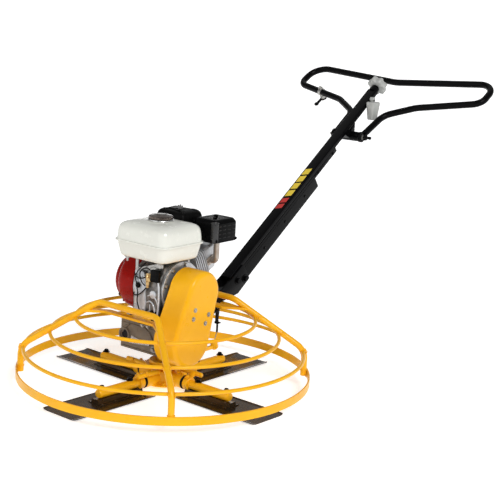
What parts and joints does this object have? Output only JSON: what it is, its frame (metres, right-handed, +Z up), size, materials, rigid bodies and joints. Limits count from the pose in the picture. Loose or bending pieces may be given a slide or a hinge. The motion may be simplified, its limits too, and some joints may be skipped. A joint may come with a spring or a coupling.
{
  "type": "power trowel",
  "caption": "Walk-behind concrete power trowel with four pitch-adjustable blades, round guard ring, petrol engine, belt cover and a folding handlebar.",
  "frame": {"origin": "on the rotor's axis, at the floor under the blades", "axes": "+Z up, +Y towards the operator's handlebar, +X towards the belt cover"},
  "size_m": [0.9719, 1.8599, 1.0039],
  "materials": {
    "yellow_paint": "semi-gloss enamel",
    "blade_steel": "dark oiled spring steel",
    "dark_casting": "as cast, dark grey",
    "black_paint": "gloss black",
    "bearing_steel": "ground",
    "bronze": "machined bronze",
    "pulley_iron": "machined",
    "belt_rubber": "matt",
    "engine_aluminium": "die cast",
    "red_paint": "gloss red",
    "black_plastic": "textured",
    "white_paint": "gloss cream white",
    "exhaust_steel": "heat tinted",
    "grey_plastic": "moulded",
    "cable_jacket": "ribbed jacket"
  },
  "bodies": {
    "chassis": {"air_cleaner_base": "black_plastic", "air_cleaner_cover": "black_plastic", "base_plate": "black_paint", "belt_backplate": "black_paint", "belt_cover": "yellow_paint", "carburetor": "engine_aluminium", "crankcase": "engine_aluminium", "crankcase_cover": "engine_aluminium", "cylinder": "engine_aluminium", "drive_belt": "belt_rubber", "exhaust_pipe": "exhaust_steel", "fan_cover": "red_paint", "fold_bolt": "bearing_steel", "fuel_tank": "white_paint", "gearbox_bearings": "bearing_steel", "gearbox_cover": "dark_casting", "gearbox_housing": "dark_casting", "guard_band": "yellow_paint", "guard_front_frame": "yellow_paint", "guard_mount_bars": "yellow_paint", "guard_rear_frame": "yellow_paint", "guard_rods": "yellow_paint", "handle_bracket": "black_paint", "handle_channel": "black_paint", "handle_tube": "black_paint", "handlebar_crosstube": "black_paint", "muffler": "black_paint", "pitch_cable": "cable_jacket", "recoil_housing": "red_paint", "rocker_cover": "engine_aluminium"},
    "rotor": {"spider_hub": "yellow_paint", "output_shaft": "bearing_steel", "worm_wheel": "bronze"},
    "pressure_plate": {"pressure_plate": "bearing_steel"},
    "thrust_bearing": {"thrust_bearing": "bearing_steel"},
    "pitch_yoke": {"pitch_yoke": "yellow_paint"},
    "pitch_knob": {"pitch_knob": "grey_plastic", "pitch_screw": "bearing_steel"},
    "worm": {"worm_shaft": "bearing_steel", "input_pulley": "pulley_iron"},
    "clutch_drum": {"clutch_drum": "pulley_iron"},
    "crank": {"crankshaft": "bearing_steel", "flywheel": "engine_aluminium"},
    "handlebar": {"handlebar": "black_paint", "throttle_clamp": "bearing_steel"},
    "throttle_lever": {"throttle_lever": "black_paint"},
    "fold_knob": {"fold_knob": "black_plastic"},
    "stop_paddle": {"stop_paddle": "grey_plastic"},
    "fuel_cap": {"fuel_cap": "black_plastic"},
    "recoil_grip": {"recoil_grip": "black_plastic"},
    "choke_lever": {"choke_lever": "black_plastic"},
    "fuel_valve": {"fuel_valve_lever": "black_plastic"},
    "arm_1": {"trowel_arm_1": "yellow_paint", "trowel_blade_1": "blade_steel"},
    "arm_2": {"trowel_arm_2": "yellow_paint", "trowel_blade_2": "blade_steel"},
    "arm_3": {"trowel_arm_3": "yellow_paint", "trowel_blade_3": "blade_steel"},
    "arm_4": {"trowel_arm_4": "yellow_paint", "trowel_blade_4": "blade_steel"}
  },
  "joints": [
    {"name": "rotor_spin", "type": "hinge", "parent": "chassis", "child": "rotor", "pos_m": [0, 0, 0.05], "axis": [0, 0, 1], "continuous": true},
    {"name": "worm_spin", "type": "hinge", "parent": "chassis", "child": "worm", "pos_m": [0, -0.05, 0.195], "axis": [1, 0, 0], "continuous": true},
    {"name": "drum_spin", "type": "hinge", "parent": "chassis", "child": "clutch_drum", "pos_m": [0.12, 0, 0.342], "axis": [1, 0, 0], "continuous": true},
    {"name": "crank_spin", "type": "hinge", "parent": "chassis", "child": "crank", "pos_m": [0, 0, 0.342], "axis": [1, 0, 0], "continuous": true},
    {"name": "knob_turn", "type": "hinge", "parent": "chassis", "child": "pitch_knob", "pos_m": [0, 1.18612, 0.9604], "axis": [0, 0.809, 0.5878], "range_deg": [0, 1080]},
    {"name": "arm_1_pitch", "type": "hinge", "parent": "rotor", "child": "arm_1", "pos_m": [0.19988, -0.00698, 0.033], "axis": [-0.9994, 0.0349, 0], "range_deg": [0, 25]},
    {"name": "arm_2_pitch", "type": "hinge", "parent": "rotor", "child": "arm_2", "pos_m": [0.00698, 0.19988, 0.033], "axis": [-0.0349, -0.9994, 0], "range_deg": [0, 25]},
    {"name": "arm_3_pitch", "type": "hinge", "parent": "rotor", "child": "arm_3", "pos_m": [-0.19988, 0.00698, 0.033], "axis": [0.9994, -0.0349, 0], "range_deg": [0, 25]},
    {"name": "arm_4_pitch", "type": "hinge", "parent": "rotor", "child": "arm_4", "pos_m": [-0.00698, -0.19988, 0.033], "axis": [0.0349, 0.9994, 0], "range_deg": [0, 25]},
    {"name": "plate_slide", "type": "slide", "parent": "rotor", "child": "pressure_plate", "axis": [0, 0, -1], "range_m": [0, 0.012]},
    {"name": "thrust_slide", "type": "slide", "parent": "chassis", "child": "thrust_bearing", "axis": [0, 0, -1], "range_m": [0, 0.012]},
    {"name": "yoke_tilt", "type": "hinge", "parent": "chassis", "child": "pitch_yoke", "pos_m": [0, 0.075, 0.099], "axis": [1, 0, 0], "range_deg": [0, 9.06]},
    {"name": "handlebar_fold", "type": "hinge", "parent": "chassis", "child": "handlebar", "pos_m": [0, 1.003, 0.776], "axis": [1, 0, 0], "range_deg": [0, 150]},
    {"name": "fold_knob_turn", "type": "hinge", "parent": "chassis", "child": "fold_knob", "pos_m": [0.08, 1.003, 0.776], "axis": [1, 0, 0], "range_deg": [0, 360]},
    {"name": "throttle_swing", "type": "hinge", "parent": "handlebar", "child": "throttle_lever", "pos_m": [-0.28996, 1.23837, 0.88126], "axis": [0, -0.515, 0.8572], "range_deg": [0, 70]},
    {"name": "stop_press", "type": "hinge", "parent": "chassis", "child": "stop_paddle", "pos_m": [0.03, 1.112, 0.912], "axis": [1, 0, 0], "range_deg": [0, 12], "stiffness_Nm_per_rad": 1.5},
    {"name": "cap_turn", "type": "hinge", "parent": "chassis", "child": "fuel_cap", "pos_m": [0.002, -0.046, 0.575], "axis": [0, 0, 1], "range_deg": [0, 90]},
    {"name": "recoil_pull", "type": "slide", "parent": "chassis", "child": "recoil_grip", "axis": [0, 0.7071, 0.7071], "range_m": [0, 0.45], "stiffness_N_per_m": 15, "springref_m": -0.05},
    {"name": "choke_swing", "type": "hinge", "parent": "chassis", "child": "choke_lever", "pos_m": [-0.107, 0.124, 0.461], "axis": [1, 0, 0], "range_deg": [0, 40]},
    {"name": "fuel_valve_swing", "type": "hinge", "parent": "chassis", "child": "fuel_valve", "pos_m": [-0.107, 0.128, 0.437], "axis": [1, 0, 0], "range_deg": [0, 40]}
  ],
  "couplings": [
    {"joint": "worm_spin", "follows": "rotor_spin", "ratio": -20},
    {"joint": "drum_spin", "follows": "rotor_spin", "ratio": -35},
    {"joint": "plate_slide", "follows": "knob_turn", "m_per_rad": 0.00063598},
    {"joint": "thrust_slide", "follows": "knob_turn", "m_per_rad": 0.00063598},
    {"joint": "yoke_tilt", "follows": "knob_turn", "ratio": 0.0083816},
    {"joint": "arm_1_pitch", "follows": "knob_turn", "ratio": 0.023146},
    {"joint": "arm_2_pitch", "follows": "knob_turn", "ratio": 0.023146},
    {"joint": "arm_3_pitch", "follows": "knob_turn", "ratio": 0.023146},
    {"joint": "arm_4_pitch", "follows": "knob_turn", "ratio": 0.023146}
  ]
}
